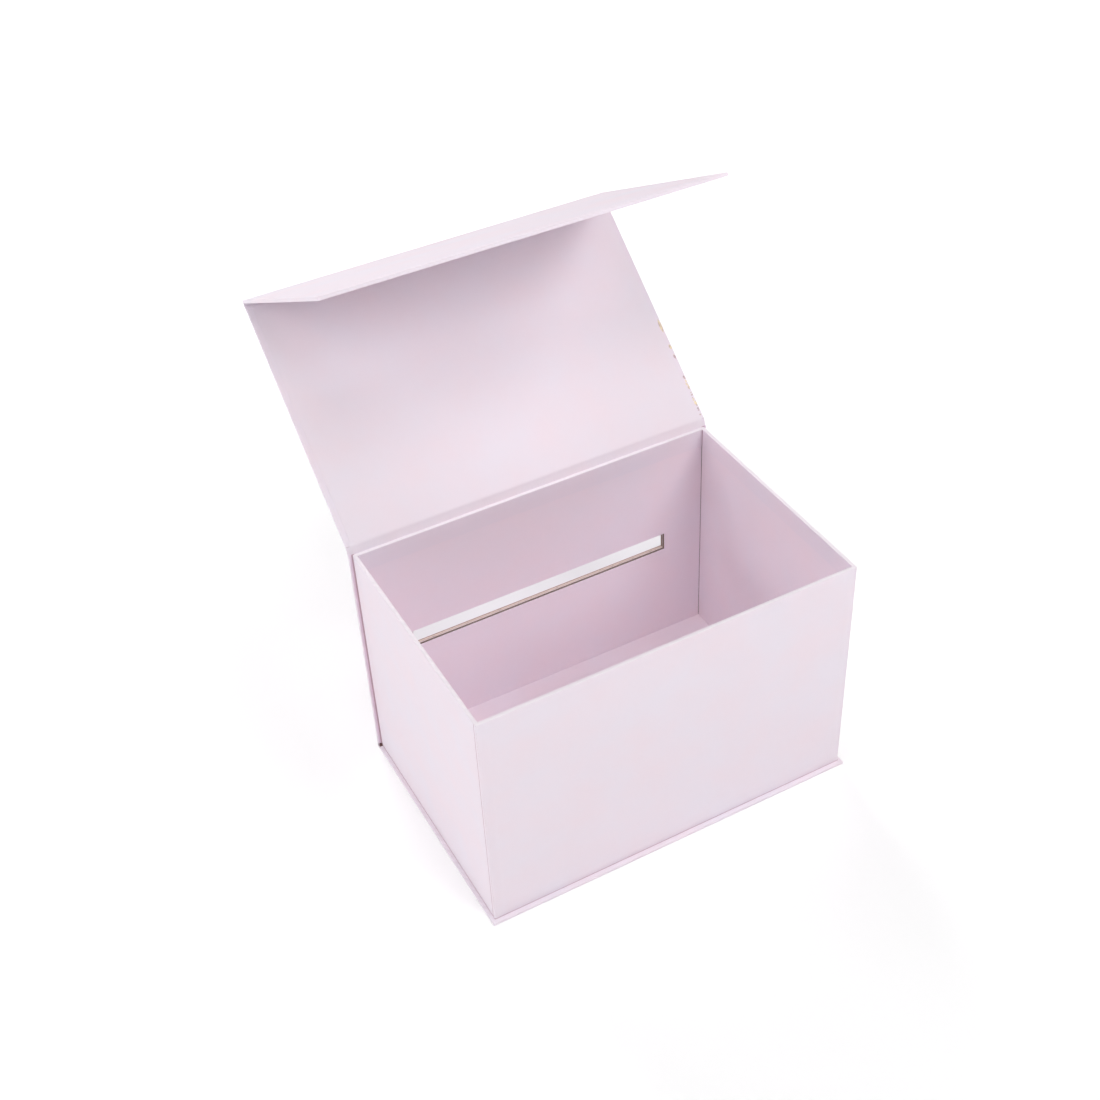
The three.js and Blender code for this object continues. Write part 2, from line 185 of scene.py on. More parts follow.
TRAY_LOW, TRAY_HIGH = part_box("tray_wrap")
SLOT_LOW, SLOT_HIGH = hole_in("tray_back_board")
COVER_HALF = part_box("lid_wrap")[1].x
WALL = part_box("tray_lining_left")[1].x - TRAY_LOW.x + 1.5 * PAPER  # board, lining and turned-in wrap


# ---------------------------------------------------------------- meshes
def make_object(name, data):
    piece = bpy.data.objects.new(name, data)
    bpy.context.scene.collection.objects.link(piece)
    return piece


def solid(name, corners, faces):
    """A closed mesh from its corners and faces, with its faces turned outwards."""
    mesh = bpy.data.meshes.new(name)
    mesh.from_pydata([tuple(c) for c in corners], [], faces)
    work = bmesh.new()
    work.from_mesh(mesh)
    bmesh.ops.recalc_face_normals(work, faces=work.faces)
    work.to_mesh(mesh)
    work.free()
    return make_object(name, mesh)


def band(here, there, size):
    """The faces between two rings of corners, given the number of each ring's first corner."""
    faces = []
    for k in range(size):
        after = (k + 1) % size
        faces.append((here + k, here + after, there + after, there + k))
    return faces


def prism(name, rings):
    """A solid through a row of rings that are alike, closed at both ends."""
    size = len(rings[0])
    last = (len(rings) - 1) * size
    faces = [tuple(range(size)), tuple(range(last, last + size))]
    for first in range(0, last, size):
        faces += band(first, first + size, size)
    return solid(name, [corner for ring in rings for corner in ring], faces)


def loft(name, rings):
    """A closed band through closed rings, the last of them joined to the first."""
    size, count = len(rings[0]), len(rings)
    faces = []
    for level in range(count):
        faces += band(level * size, (level + 1) % count * size, size)
    return solid(name, [corner for ring in rings for corner in ring], faces)


def arc(centre, radius, start, sweep, steps):
    """Points along a part of a circle. The angle that it starts at and its sweep are in degrees."""
    angles = [math.radians(start + sweep * step / steps) for step in range(steps + 1)]
    return [centre + radius * Vector((math.cos(a), math.sin(a))) for a in angles]


def fillet(path, radius):
    """An open (y, z) path with each of its corners rounded to about that radius."""
    rounded = [path[0]]
    for before, corner, after in zip(path, path[1:], path[2:]):
        into = (before - corner).normalized()
        out = (after - corner).normalized()
        half = math.acos(max(-1, min(1, into.dot(out)))) / 2
        reach = min(radius / math.tan(half), (before - corner).length / 2, (after - corner).length / 2)
        start, end = corner + into * reach, corner + out * reach
        for step in range(FOLD_STEPS + 1):
            t = step / FOLD_STEPS
            rounded.append(start.lerp(corner, t).lerp(corner.lerp(end, t), t))
    return rounded + [path[-1]]


def offset(path, distance):
    """The path moved to its left by a distance, with mitred corners."""
    sides = []
    for start, end in zip(path, path[1:]):
        along = (end - start).normalized()
        sides.append(Vector((-along.y, along.x)))
    moved = []
    for i, point in enumerate(path):
        before, after = sides[max(i - 1, 0)], sides[min(i, len(sides) - 1)]
        mitre = (before + after) / (1 + before.dot(after))
        moved.append(point + mitre * distance)
    return moved


def extrude(name, outline, half_width):
    """A closed (y, z) outline drawn out across the box's width."""
    cells = round(2 * half_width / GRID)
    stations = [-half_width + 2 * half_width * cell / cells for cell in range(cells + 1)]
    return prism(name, [[(x, p.x, p.y) for p in outline] for x in stations])


def folded_sheet(name, path, half_width, thickness=PAPER):
    """Paper that follows a (y, z) path, its thickness on the path's left."""
    return extrude(name, path + offset(path, thickness)[::-1], half_width)


def slab(name, low, high, radius=0.0, open_near=False, open_far=False):
    """A block with rounded edges. An open end along Y keeps its edges sharp, so that paper can run on
    past it."""
    work = bmesh.new()
    bmesh.ops.create_cube(work, size=1)
    low, high = Vector(low), Vector(high)
    middle, size = (low + high) / 2, high - low
    for vert in work.verts:
        vert.co = Vector([m + c * s for m, c, s in zip(middle, vert.co, size)])
    if radius:
        ends = [y for y, is_open in ((low.y, open_near), (high.y, open_far)) if is_open]
        edges = [
            e for e in work.edges
            if not any(all(abs(v.co.y - y) < 1e-9 for v in e.verts) for y in ends)
        ]
        bmesh.ops.bevel(
            work, geom=edges, offset=radius, segments=BEND_STEPS, profile=0.5, affect="EDGES"
        )
    bmesh.ops.recalc_face_normals(work, faces=work.faces)
    mesh = bpy.data.meshes.new(name)
    work.to_mesh(mesh)
    work.free()
    return make_object(name, mesh)


def cut(piece, *others):
    """Cuts the other solids from the piece and removes them."""
    for other in others:
        modifier = piece.modifiers.new("cut", "BOOLEAN")
        modifier.operation = "DIFFERENCE"
        modifier.solver = "EXACT"
        modifier.object = other
    bpy.context.view_layer.update()
    evaluated = piece.evaluated_get(bpy.context.evaluated_depsgraph_get())
    mesh = bpy.data.meshes.new_from_object(evaluated)
    piece.modifiers.clear()
    piece.data = mesh
    for other in others:
        bpy.data.objects.remove(other)
    return piece


def slot_cutter():
    reach = 30 * MM
    low = Vector((SLOT_LOW.x, SLOT_LOW.y - reach, SLOT_LOW.z))
    high = Vector((SLOT_HIGH.x, SLOT_HIGH.y + reach, SLOT_HIGH.z))
    return slab("slot_cutter", low, high)


def ripple(piece):
    """Hand-glued paper is never quite flat: one smooth field moves each sheet a little."""
    for vert in piece.data.vertices:
        vert.co += WAVE * noise.noise_vector(vert.co / WAVE_LENGTH)


def complete(piece, material, body=None, stands_for=()):
    """Its material, its smooth shading, the body it rides on and the CAD nodes that it stands for."""
    piece.data.materials.clear()
    piece.data.materials.append(material)
    for face in piece.data.polygons:
        face.use_smooth = True
    piece.data.set_sharp_from_angle(angle=SHARPEST_SMOOTH)
    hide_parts(*stands_for)
    if body:
        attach(piece, body)
    return piece


# ---------------------------------------------------------------- materials
def shader(name, colour, roughness, metallic=0.0):
    """A new material's node tree and its Principled shader."""
    material = bpy.data.materials.new(name)
    material.use_nodes = True
    tree = material.node_tree
    principled = tree.nodes["Principled BSDF"]
    principled.inputs["Base Color"].default_value = (*colour, 1)
    principled.inputs["Roughness"].default_value = roughness
    principled.inputs["Metallic"].default_value = metallic
    return material, tree, principled


def grain(tree, scale, stretch=(1, 1, 1), detail=3.0, roughness=0.55):
    """Procedural noise in the object's own space; its Fac output."""
    place = tree.nodes.new("ShaderNodeTexCoord")
    mapping = tree.nodes.new("ShaderNodeMapping")
    mapping.inputs["Scale"].default_value = stretch
    texture = tree.nodes.new("ShaderNodeTexNoise")
    texture.inputs["Scale"].default_value = scale
    texture.inputs["Detail"].default_value = detail
    texture.inputs["Roughness"].default_value = roughness
    tree.links.new(place.outputs["Object"], mapping.inputs["Vector"])
    tree.links.new(mapping.outputs["Vector"], texture.inputs["Vector"])
    return texture.outputs["Fac"]


def spread(tree, value, low, high, source=(0.3, 0.7)):
    """A value mapped from `source`, which is the usual span of noise unless given, to low..high."""
    node = tree.nodes.new("ShaderNodeMapRange")
    node.inputs["From Min"].default_value = source[0]
    node.inputs["From Max"].default_value = source[1]
    node.inputs["To Min"].default_value = low
    node.inputs["To Max"].default_value = high
    tree.links.new(value, node.inputs["Value"])
    return node.outputs["Result"]


def axis_value(tree, axis):
    """One coordinate in the object's own space."""
    place = tree.nodes.new("ShaderNodeTexCoord")
    axes = tree.nodes.new("ShaderNodeSeparateXYZ")
    tree.links.new(place.outputs["Object"], axes.inputs["Vector"])
    return axes.outputs[axis]


def distance_from(tree, point):
    """The distance from a point in the object's own space."""
    place = tree.nodes.new("ShaderNodeTexCoord")
    gap = tree.nodes.new("ShaderNodeVectorMath")
    gap.operation = "DISTANCE"
    gap.inputs[1].default_value = point
    tree.links.new(place.outputs["Object"], gap.inputs[0])
    return gap.outputs["Value"]


def blend_colours(tree, factor, first, second):
    """A colour between two others, each of them a colour or another node's output."""
    node = tree.nodes.new("ShaderNodeMix")
    node.data_type = "RGBA"
    tree.links.new(factor, node.inputs["Factor"])
    first_socket, second_socket, result = node.inputs[6], node.inputs[7], node.outputs[2]
    for socket, colour in ((first_socket, first), (second_socket, second)):
        if isinstance(colour, tuple):
            socket.default_value = (*colour, 1)
        else:
            tree.links.new(colour, socket)
    return result


def add_bump(tree, principled, heights):
    """Bumps laid one over another: (height value, strength, depth in metres)."""
    normal = None
    for value, strength, depth in heights:
        bump = tree.nodes.new("ShaderNodeBump")
        bump.inputs["Strength"].default_value = strength
        bump.inputs["Distance"].default_value = depth
        tree.links.new(value, bump.inputs["Height"])
        if normal:
            tree.links.new(normal, bump.inputs["Normal"])
        normal = bump.outputs["Normal"]
    tree.links.new(normal, principled.inputs["Normal"])


def tint(colour, red, green, blue):
    return tuple(c * t for c, t in zip(colour, (red, green, blue)))


def paper(name, colour, roughness=0.62, rim=None):
    """Uncoated dyed paper: cloudy colour, short fibres that stand up a little, and fine specks. Above
    the height `rim`, where it is folded hard over the boards, it is painted paler: a painted highlight."""
    cloud_scale, fibre_scale, speck_scale, tooth_scale = 26, 900, 2600, 3200
    material, tree, principled = shader(name, colour, roughness)
    clouds = spread(tree, grain(tree, cloud_scale), 0, 1)
    pinker, bluer = tint(colour, 1.0, 0.968, 0.972), tint(colour, 0.972, 0.99, 1.004)
    cloudy = blend_colours(tree, clouds, pinker, bluer)
    specks = spread(tree, grain(tree, speck_scale, detail=2), 0, 0.5, source=(0.62, 0.8))
    speckled = blend_colours(tree, specks, cloudy, tint(colour, 0.93, 0.9, 0.92))
    if rim is not None:
        fade = 0.15 * MM
        rim_highlight = spread(tree, axis_value(tree, "Z"), 0, 1, source=(rim, rim + fade))
        speckled = blend_colours(tree, rim_highlight, speckled, tint(colour, 1.02, 1.055, 1.03))
    tree.links.new(speckled, principled.inputs["Base Color"])
    fibres = grain(tree, fibre_scale, stretch=(1, 0.35, 0.6), detail=5, roughness=0.7)
    tooth = grain(tree, tooth_scale, detail=2)
    uneven = spread(tree, fibres, roughness - 0.06, roughness + 0.08)
    tree.links.new(uneven, principled.inputs["Roughness"])
    add_bump(tree, principled, [(fibres, 0.22, 0.05 * MM), (tooth, 0.15, 0.02 * MM)])
    principled.inputs["Specular IOR Level"].default_value = 0.35
    return material


def board_core(name, near, far, slot_end):
    """Cut greyboard, from `near` to `far` along Y: dark at the near side, pale pressed layers through
    the middle and a little browner at the far side. The slot's ends are painted darker, as painted
    shade."""
    dark, pale, brown = (0.06, 0.036, 0.032), (0.82, 0.67, 0.61), (0.45, 0.33, 0.29)
    layer_scale, pulp_scale = 900, 500
    end_fade = 0.3 * MM
    material, tree, principled = shader(name, pale, 0.9)
    through = spread(tree, axis_value(tree, "Y"), 0, 1, source=(near, far))
    ramp = tree.nodes.new("ShaderNodeValToRGB")
    stops = ramp.color_ramp.elements
    stops[0].position, stops[0].color = 0.27, (*dark, 1)
    stops[1].position, stops[1].color = 1.0, (*brown, 1)
    layer_edges = ((0.33, brown), (0.4, pale), (0.54, brown), (0.6, pale), (0.74, pale), (0.82, brown))
    for position, colour in layer_edges:
        stops.new(position).color = (*colour, 1)
    tree.links.new(through, ramp.inputs["Fac"])
    layers = grain(tree, layer_scale, stretch=(0.05, 2.4, 0.6), detail=4, roughness=0.75)
    pulp = grain(tree, pulp_scale, stretch=(0.6, 1, 1), detail=4)
    streaked = blend_colours(tree, spread(tree, layers, 0, 0.45), ramp.outputs["Color"], brown)
    flecked = blend_colours(tree, spread(tree, pulp, 0, 0.4, source=(0.56, 0.74)), streaked, dark)
    # the slot's ends are darkened: painted shade
    sideways = tree.nodes.new("ShaderNodeMath")
    sideways.operation = "ABSOLUTE"
    tree.links.new(axis_value(tree, "X"), sideways.inputs[0])
    end_shade = spread(tree, sideways.outputs["Value"], 0, 0.75, source=(slot_end - end_fade, slot_end))
    shaded_ends = blend_colours(tree, end_shade, flecked, tint(brown, 0.45, 0.4, 0.36))
    tree.links.new(shaded_ends, principled.inputs["Base Color"])
    add_bump(tree, principled, [(layers, 0.5, 0.12 * MM), (pulp, 0.3, 0.08 * MM)])
    return material


def kraft_tape():
    colour = (0.47, 0.33, 0.17)
    material, tree, principled = shader("kraft_tape", colour, 0.6)
    fibres = grain(tree, 900, stretch=(0.3, 0.3, 1.6), detail=4)
    tinted = blend_colours(tree, spread(tree, fibres, 0, 1), colour, tint(colour, 0.8, 0.78, 0.7))
    tree.links.new(tinted, principled.inputs["Base Color"])
    add_bump(tree, principled, [(fibres, 0.3, 0.03 * MM)])
    return material


def magnet_steel():
    material, tree, principled = shader("nickel_plate", (0.62, 0.62, 0.6), 0.28, metallic=1.0)
    brushing = grain(tree, 600, stretch=(1, 1, 0.2), detail=3)
    tree.links.new(spread(tree, brushing, 0.2, 0.38), principled.inputs["Roughness"])
    add_bump(tree, principled, [(brushing, 0.15, 0.01 * MM)])
    return material


def painted_hinge_shade():
    """Painted shade: a dark fill in the joints between the boards."""
    colour = (0.11, 0.055, 0.05)
    material, tree, principled = shader("painted_hinge_shade", colour, 0.7)
    mottle = grain(tree, 800, detail=4)
    mottled = blend_colours(tree, spread(tree, mottle, 0, 1), colour, tint(colour, 1.8, 1.7, 1.7))
    tree.links.new(mottled, principled.inputs["Base Color"])
    add_bump(tree, principled, [(mottle, 0.5, 0.1 * MM)])
    return material


def foil():
    gold, rose = (0.93, 0.78, 0.55), (0.66, 0.50, 0.54)
    material, tree, principled = shader("foil_print", gold, 0.3, metallic=0.6)
    patches = spread(tree, grain(tree, 160, detail=2), 0, 1, source=(0.42, 0.58))
    tree.links.new(blend_colours(tree, patches, gold, rose), principled.inputs["Base Color"])
    crinkle = grain(tree, 1500, detail=3)
    tree.links.new(spread(tree, crinkle, 0.2, 0.5), principled.inputs["Roughness"])
    add_bump(tree, principled, [(crinkle, 0.5, 0.03 * MM)])
    return material


WRAP_COLOUR = (0.94, 0.845, 0.918)
LINING_COLOUR = tint(WRAP_COLOUR, 0.998, 1.008, 0.993)
# The tray's lining is a pinker copy of the wrap's colour, standing for the pinker shade inside the tray:
# painted shade
TRAY_LINING_COLOUR = tint(WRAP_COLOUR, 1.028, 1.012, 1.004)
wrap_paper = paper("wrap_paper", WRAP_COLOUR)
lining_paper = paper("lining_paper", LINING_COLOUR, roughness=0.68)
tray_paper = paper("tray_paper", WRAP_COLOUR, rim=TRAY_HIGH.z - RIM_HIGHLIGHT_DEPTH)
tray_lining_paper = paper("tray_lining_paper", TRAY_LINING_COLOUR, roughness=0.68)
# A darker copy of the wrap for painted shade in gaps and joints, and a paler one for painted shade on
# the spine's ledge
painted_shade_paper = paper("painted_shade_paper", tint(WRAP_COLOUR, 0.66, 0.52, 0.56), roughness=0.75)
ledge_shade_paper = paper("ledge_shade_paper", tint(WRAP_COLOUR, 0.93, 0.85, 0.91), roughness=0.7)
foil_print = foil()
hinge_shade_fill = painted_hinge_shade()


# ---------------------------------------------------------------- the tray
def tray_ring(inset, z, radius):
    """One level of the tray's outline, `inset` in from its outside, as points in a fixed order."""
    half = Vector((TRAY_HIGH.x - inset, TRAY_HIGH.y - inset))
    arcs = []
    for side, end, start in ((1, -1, -90), (1, 1, 0), (-1, 1, 90), (-1, -1, 180)):
        centre = Vector((side * (half.x - radius), end * (half.y - radius)))
        arcs.append(arc(centre, radius, start, 90, BEND_STEPS))
    ring = []
    for i, corner in enumerate(arcs):
        following = arcs[(i + 1) % 4][0]
        length = 2 * (TRAY_HIGH.y if i % 2 == 0 else TRAY_HIGH.x)
        cells = round(length / GRID)
        ring += corner
        ring += [corner[-1].lerp(following, step / cells) for step in range(1, cells)]
    return [Vector((p.x, p.y, z)) for p in ring]


def tray_section():
    """The wrap's section at a wall, as closed (inset, z) points: out under the wall, up, over the rim,
    down inside, and back along the hidden face."""
    bottom, top = TRAY_LOW.z, TRAY_HIGH.z
    levels = round((top - bottom) / GRID)
    climb = [bottom + (top - bottom) * level / levels for level in range(1, levels)]
    lower = Vector((EDGE_RADIUS, bottom + EDGE_RADIUS))
    upper = Vector((EDGE_RADIUS, top - EDGE_RADIUS))
    mouth = Vector((WALL - EDGE_RADIUS, top - EDGE_RADIUS))
    half_turn_in = top - RIM_TURN_IN / 2
    section = []
    for depth, order in ((0.0, 1), (PAPER, -1)):
        radius = EDGE_RADIUS - depth
        face = [Vector((EDGE_TURN_IN, bottom + depth))]
        face += arc(lower, radius, 270, -90, BEND_STEPS)
        face += [Vector((depth, z)) for z in climb]
        face += arc(upper, radius, 180, -90, BEND_STEPS)
        face += arc(mouth, radius, 90, -90, BEND_STEPS)
        face += [Vector((WALL - depth, half_turn_in)), Vector((WALL - depth, top - RIM_TURN_IN))]
        section += face[::order]
    return section


def add_tray_wrap():
    inner_radius = 0.3 * MM
    rings = [tray_ring(p.x, p.y, max(CORNER_RADIUS - p.x, inner_radius)) for p in tray_section()]
    wrap = cut(loft("tray_wrap_sheet", rings), slot_cutter())
    ripple(wrap)
    complete(wrap, tray_paper, "tray", stands_for=["tray_wrap"])


def gridded_slab(name, low, high):
    """A thin upright or flat sheet, cut into cells so that it can ripple."""
    size = high - low
    thin = min(range(3), key=lambda axis: size[axis])
    piece = slab(name, low, high)
    work = bmesh.new()
    work.from_mesh(piece.data)
    for axis in range(3):
        cells = 1 if axis == thin else max(1, round(size[axis] / GRID))
        for cell in range(1, cells):
            at = Vector((0, 0, 0))
            at[axis] = low[axis] + size[axis] * cell / cells
            normal = Vector((0, 0, 0))
            normal[axis] = 1
            bmesh.ops.bisect_plane(
                work, geom=work.verts[:] + work.edges[:] + work.faces[:], plane_co=at, plane_no=normal
            )
    work.to_mesh(piece.data)
    work.free()
    return piece


def add_tray_linings():
    for wall in ("front", "back", "left", "right", "floor"):
        node = f"tray_lining_{wall}"
        low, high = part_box(node)
        sheet = gridded_slab(f"{node}_sheet", low, high)
        if wall == "back":
            cut(sheet, slot_cutter())
        ripple(sheet)
        complete(sheet, tray_lining_paper, "tray", stands_for=[node])


def upright(name, outline, bottom, top, side):
    """A closed (x, y) outline drawn upwards, mirrored to the left when `side` is -1."""
    levels = round((top - bottom) / GRID)
    heights = [bottom + (top - bottom) * level / levels for level in range(levels + 1)]
    piece = prism(name, [[(side * p.x, p.y, z) for p in outline] for z in heights])
    ripple(piece)
    return piece


def add_corner_laps():
    """The front paper comes round each front corner and is stuck down on the side, with a dark line of
    painted shade along its edge."""
    front, edge = TRAY_LOW.y, TRAY_HIGH.x
    bottom, top = TRAY_LOW.z + EDGE_RADIUS, TRAY_HIGH.z - EDGE_RADIUS
    step, buried = 0.14 * MM, PAPER / 2  # the lap's thickness above and below the side's face
    fade = 9 * MM  # how far along the front the lap's thickness runs out
    shade_line_width = 1.0 * MM
    lap_steps = 6
    corner = Vector((edge - CORNER_RADIUS, front + CORNER_RADIUS))
    lap = [Vector((edge + step, front + LAP))]
    lap += arc(corner, CORNER_RADIUS + step, 0, -90, lap_steps)
    lap += [Vector((edge - fade, front)), Vector((edge - fade, front + buried))]
    lap += arc(corner, CORNER_RADIUS - buried, 0, -90, lap_steps)[::-1]
    lap += [Vector((edge - buried, front + LAP))]
    # a dark strip along the lap's edge: painted shade of its step
    shade_line = [
        Vector((edge - buried, front + LAP)),
        Vector((edge + step, front + LAP)),
        Vector((edge + 0.2 * step, front + LAP + shade_line_width)),
        Vector((edge - buried, front + LAP + shade_line_width)),
    ]
    for name, side in SIDES:
        complete(upright(f"corner_lap_{name}", lap, bottom, top, side), wrap_paper, "tray")
        complete(upright(f"corner_shade_line_{name}", shade_line, bottom, top, side), painted_shade_paper, "tray")


def add_painted_shade_lines():
    """Painted shade: the fine dark line where the tray stands on the base, and the dark line and the
    paler shade beside it where the tray leans on the spine."""
    overhang, height = 0.1 * MM, 0.25 * MM
    base_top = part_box("base_wrap")[1].z
    reach = Vector((overhang, overhang, 0))
    # a painted contact shadow where the tray stands on the base
    contact_shade = slab(
        "shade_line_under_tray",
        Vector((TRAY_LOW.x, TRAY_LOW.y, base_top)) - reach,
        Vector((TRAY_HIGH.x, TRAY_HIGH.y, base_top + height)) + Vector((overhang, 0, 0)),
    )
    room = slab(
        "room",
        Vector((TRAY_LOW.x, TRAY_LOW.y, base_top - height)) + 4 * reach,
        Vector((TRAY_HIGH.x, TRAY_HIGH.y, base_top + 2 * height)) - 4 * reach,
    )
    complete(cut(contact_shade, room), painted_shade_paper, "tray")
    spine_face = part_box("spine_wrap")[0].y
    # painted shade in the gap between the tray and the spine, and paler painted shade on the ledge
    # beside it
    stripes = {
        "shade_line": (0.8 * MM, -1.5 * MM, 0.5 * MM, painted_shade_paper),
        "ledge_shade": (2.3 * MM, -0.4 * MM, 0.12 * MM, ledge_shade_paper),
    }
    for side_name, side in SIDES:
        for name, (out, into, thickness, material) in stripes.items():
            ends = sorted((side * (TRAY_HIGH.x + out), side * (TRAY_HIGH.x + into)))
            low = (ends[0], spine_face - thickness, TRAY_LOW.z + height)
            high = (ends[1], spine_face + PAPER / 2, TRAY_HIGH.z)
            complete(slab(f"{name}_behind_tray_{side_name}", low, high), material, "tray")


def add_rim_seam_shades():
    """Where the wrap that comes down inside the rim is cut to go round the inner corners, a fine dark
    line of painted shade marks the gap."""
    width = 0.4 * MM
    bottom, top = TRAY_HIGH.z - RIM_TURN_IN, TRAY_HIGH.z - EDGE_RADIUS
    inner = Vector((TRAY_HIGH.x - WALL, TRAY_HIGH.y - WALL))
    for side_name, side in SIDES:
        for end_name, end in (("front", -1), ("back", 1)):
            across = sorted((side * (inner.x + PAPER / 2), side * (inner.x - width)))
            along = sorted((end * (inner.y + PAPER / 2), end * (inner.y - width)))
            low, high = (across[0], along[0], bottom), (across[1], along[1], top)
            complete(slab(f"rim_seam_shade_{end_name}_{side_name}", low, high), painted_shade_paper, "tray")


# ---------------------------------------------------------------- the cover's panels
def panel_wrap(name, panel, node, open_near, open_far):
    """Paper round a cover board: a hollow shell with a window on the inner face, under the lining."""
    low, high = panel.box(node)
    shell = slab(name, low, high, EDGE_RADIUS, open_near, open_far)
    past = 2 * MM
    inner_low, inner_high = low + PAPER * Vector((1, 1, 1)), high - PAPER * Vector((1, 1, 1))
    window_low = low + EDGE_TURN_IN * Vector((1, 1, 0)) + Vector((0, 0, (high.z - low.z) / 2))
    window_high = high - EDGE_TURN_IN * Vector((1, 1, 0)) + Vector((0, 0, past))
    if open_near:
        inner_low.y = window_low.y = low.y - past
    if open_far:
        inner_high.y = window_high.y = high.y + past
    room = slab("room", inner_low, inner_high, EDGE_RADIUS - PAPER, open_near, open_far)
    window = slab("window", window_low, window_high)
    cut(shell, room, window)
    shell.data.transform(panel.matrix)
    return shell


def add_panels():
    panels = {
        "base": (base, "tray", False, True),
        "spine": (spine, "tray", True, True),
        "lid": (lid, "lid", True, True),
        "flap": (flap, "flap", True, False),
    }
    for name, (panel, body, open_near, open_far) in panels.items():
        wrap = panel_wrap(f"{name}_wrap_sheet", panel, f"{name}_wrap", open_near, open_far)
        if name == "spine":
            cut(wrap, slot_cutter())
        complete(wrap, wrap_paper, body, stands_for=[f"{name}_wrap"])


def add_panel_linings():
    for name, panel in (("lid", lid), ("flap", flap)):
        node = f"{name}_lining"
        low, high = panel.box(node)
        sheet = gridded_slab(f"{node}_sheet", low, high)
        sheet.data.transform(panel.matrix)
        ripple(sheet)
        complete(sheet, lining_paper, name, stands_for=[node])


# ---------------------------------------------------------------- the paper hinges
def add_base_hinge():
    """Round the bottom back edge, across the gap between the base and the spine."""
    low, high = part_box("base_wrap")
    spine_low, spine_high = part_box("spine_wrap")
    bend = 1.2 * MM
    doubled = 5 * PAPER
    corner = Vector((spine_high.y, low.z))
    path = fillet([Vector((high.y, low.z)), corner, Vector((spine_high.y, spine_low.z))], bend)
    strip = folded_sheet("base_hinge_sheet", path, COVER_HALF, doubled)
    complete(strip, wrap_paper, "tray", stands_for=["base_hinge_strip"])
    # a dark fill in the hinge's hollow: painted shade
    mouth = 0.8 * MM
    inside = [
        Vector((high.y, low.z + doubled)),
        Vector((spine_high.y - doubled, low.z + doubled)),
        Vector((spine_high.y - doubled, spine_low.z)),
        Vector((spine_low.y, spine_low.z)),
        Vector((high.y, high.z)),
    ]
    complete(extrude("shade_in_base_hinge", inside, COVER_HALF - mouth), hinge_shade_fill, "tray")


def add_lid_hinge():
    """The cover's turned-in paper between the spine and the lid, and the lining glued over it inside."""
    low, high = lid.box("lid_wrap")
    spine_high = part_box("spine_wrap")[1]
    tail, lining_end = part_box("lid_hinge_lining")
    outer_bend = 1.5 * MM
    inner_bend = 0.6 * MM
    lining_bend = 4 * MM
    foot_drop = 1 * MM
    overlap = 3 * MM
    outer_start, outer_end = Vector((spine_high.y, spine_high.z)), lid.place(low.y, low.z)
    to_groove = (spine_high.y - lid.place(0, low.z).x) / lid.along.y
    groove = lid.place(to_groove, low.z)
    valley = Vector((lining_end.y + VALLEY_WIDTH, TRAY_HIGH.z - VALLEY_DEPTH))
    behind = Vector((PAPER, 0))
    foot = Vector((lining_end.y, valley.y - foot_drop))
    inner_end = lid.place(low.y, high.z)
    outer = fillet([outer_start, groove, outer_end], outer_bend)
    inner_start = Vector((foot.x, spine_high.z)) + behind
    inner = fillet([inner_start, valley + behind, inner_end], inner_bend)
    fold = extrude("lid_hinge_fold", outer + inner[::-1], COVER_HALF)
    complete(fold, wrap_paper, stands_for=["lid_hinge_strip"])
    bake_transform(fold)

    over = high.z + 1.5 * PAPER
    lid_edge, on_lid = lid.place(low.y, over), lid.place(low.y + overlap, over)
    path = fillet([Vector((foot.x, tail.z)), foot, valley, lid_edge, on_lid], lining_bend)
    lining = folded_sheet("lid_hinge_lining_sheet", path, lining_end.x)
    complete(lining, lining_paper, stands_for=["lid_hinge_lining"])
    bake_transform(lining)


def add_flap_hinge():
    """The cover's paper and the lining across the flap's two creases, each in two pieces that meet
    half way between the creases."""
    low, high = lid.box("lid_wrap")
    flap_low = flap.box("flap_wrap")[0]
    lid_bend = 2 * MM
    flap_bend = 1.3 * MM
    inner_bend = 0.8 * MM
    overlap = 5 * MM
    first = Vector((FIRST_CREASE.y, FIRST_CREASE.z))
    second = Vector((SECOND_CREASE.y, SECOND_CREASE.z))
    strip_along = (second - first).normalized()
    strip_inward = Vector((-strip_along.y, strip_along.x))
    middle = (first + second) / 2
    outward = low.z * strip_inward
    lid_outer, lid_inner = lid.place(high.y, low.z), lid.place(high.y, high.z)
    flap_outer, flap_inner = flap.place(flap_low.y, low.z), flap.place(flap_low.y, high.z)
    corner = second + outward - low.z * strip_along
    turned_in = PAPER * strip_inward
    halves = {
        "lid": (
            fillet([lid_outer, first + outward, middle + outward], lid_bend),
            fillet([lid_inner, first + turned_in, middle + turned_in], inner_bend),
        ),
        "flap": (
            fillet([middle + outward, corner, flap_outer], flap_bend),
            fillet([middle + turned_in, second + turned_in, flap_inner], inner_bend),
        ),
    }
    for side, (outer, inner) in halves.items():
        fold = extrude(f"flap_hinge_fold_{side}_side", outer + inner[::-1], COVER_HALF)
        complete(fold, wrap_paper, stands_for=["flap_hinge_strip"])
        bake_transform(fold)

    lining_high = lid.box("lid_lining")[1]
    half_width, over = lining_high.x, lining_high.z - PAPER / 2
    on_lid, lid_edge = lid.place(high.y - overlap, over), lid.place(high.y - PAPER, over)
    on_flap, flap_edge = flap.place(flap_low.y + overlap, over), flap.place(flap_low.y + PAPER, over)
    dip = 1.5 * turned_in
    halves = {
        "lid": fillet([on_lid, lid_edge, first + dip, middle + dip], inner_bend),
        "flap": fillet([middle + dip, second + dip, flap_edge, on_flap], inner_bend),
    }
    for side, path in halves.items():
        sheet = folded_sheet(f"flap_hinge_lining_{side}_side", path, half_width)
        complete(sheet, lining_paper, stands_for=["flap_hinge_lining"])
        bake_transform(sheet)


